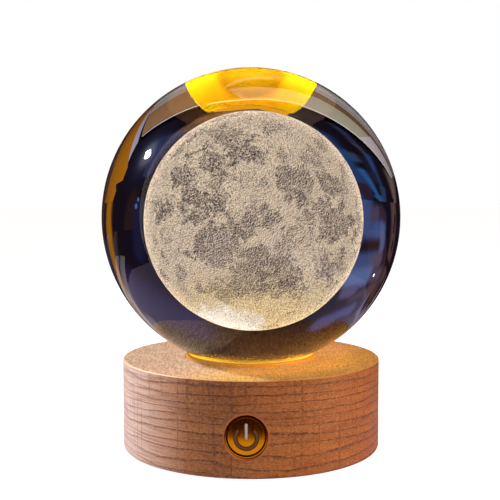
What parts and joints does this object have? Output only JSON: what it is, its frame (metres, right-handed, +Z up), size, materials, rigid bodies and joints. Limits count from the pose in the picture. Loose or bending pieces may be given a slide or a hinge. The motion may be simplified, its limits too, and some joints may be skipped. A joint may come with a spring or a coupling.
{
  "type": "crystal ball lamp",
  "caption": "Clear glass ball with an engraved moon inside, resting in a glowing seat ring on a round wooden lamp base with a power button in front and a charging socket behind.",
  "frame": {"origin": "on the table, midway under the ball and the base", "axes": "+Z up, the push button faces -Y, +X to the right as one looks at the button"},
  "size_m": [0.08, 0.08, 0.102],
  "materials": {
    "beech_wood": "satin oiled beech",
    "amber_silicone": "translucent, lit from inside",
    "crystal_glass": "polished",
    "engraved_moon": "frosted engraving",
    "frosted_diffuser": "frosted, lit from below",
    "white_board": "white solder mask",
    "light_chip": "phosphor window",
    "screw_steel": "zinc plated",
    "wire_sleeve": "wire insulation",
    "gold_brass": "satin gold",
    "brown_enamel": "filled engraving",
    "pale_enamel": "filled engraving",
    "dark_plastic": "moulded",
    "green_board": "green solder mask",
    "coil_ferrite": "ferrite",
    "ivory_plastic": "moulded",
    "port_steel": "drawn shell",
    "cell_foil": "foil pouch",
    "foam_pad": "adhesive foam",
    "cover_plastic": "fine texture",
    "foot_rubber": "matt"
  },
  "bodies": {
    "base": {"wood_base": "beech_wood", "diffuser_disc": "frosted_diffuser", "light_board": "white_board", "light_chips": "light_chip", "light_screws": "screw_steel", "light_leads": "wire_sleeve", "button_sleeve": "gold_brass", "switch_housing": "dark_plastic", "control_board": "green_board", "board_chips": "dark_plastic", "board_coil": "coil_ferrite", "wire_connectors": "ivory_plastic", "board_screw_set": "screw_steel", "port_housing": "dark_plastic", "port_shell": "port_steel", "port_tongue": "dark_plastic", "port_leads": "wire_sleeve", "cell": "cell_foil", "cell_pad": "foam_pad", "cell_leads": "wire_sleeve", "bottom_cover": "cover_plastic", "cover_screw_set": "screw_steel", "rubber_feet": "foot_rubber"},
    "ring": {"seat_ring": "amber_silicone"},
    "ball": {"crystal_ball": "crystal_glass", "moon_engraving": "engraved_moon"},
    "button": {"button_cap": "gold_brass", "button_clip": "screw_steel", "button_ring_mark": "brown_enamel", "button_bar_mark": "pale_enamel", "switch_plunger": "dark_plastic"}
  },
  "joints": [
    {"name": "ball_turn", "type": "hinge", "parent": "base", "child": "ring", "pos_m": [0, 0, 0.0215], "axis": [0, 0, 1], "continuous": true},
    {"name": "ball_lift", "type": "slide", "parent": "ring", "child": "ball", "axis": [0, 0, 1], "range_m": [0, 0.05]},
    {"name": "button_press", "type": "slide", "parent": "base", "child": "button", "axis": [0, 1, 0], "range_m": [0, 0.0008], "stiffness_N_per_m": 2000, "springref_m": -0.0004}
  ]
}
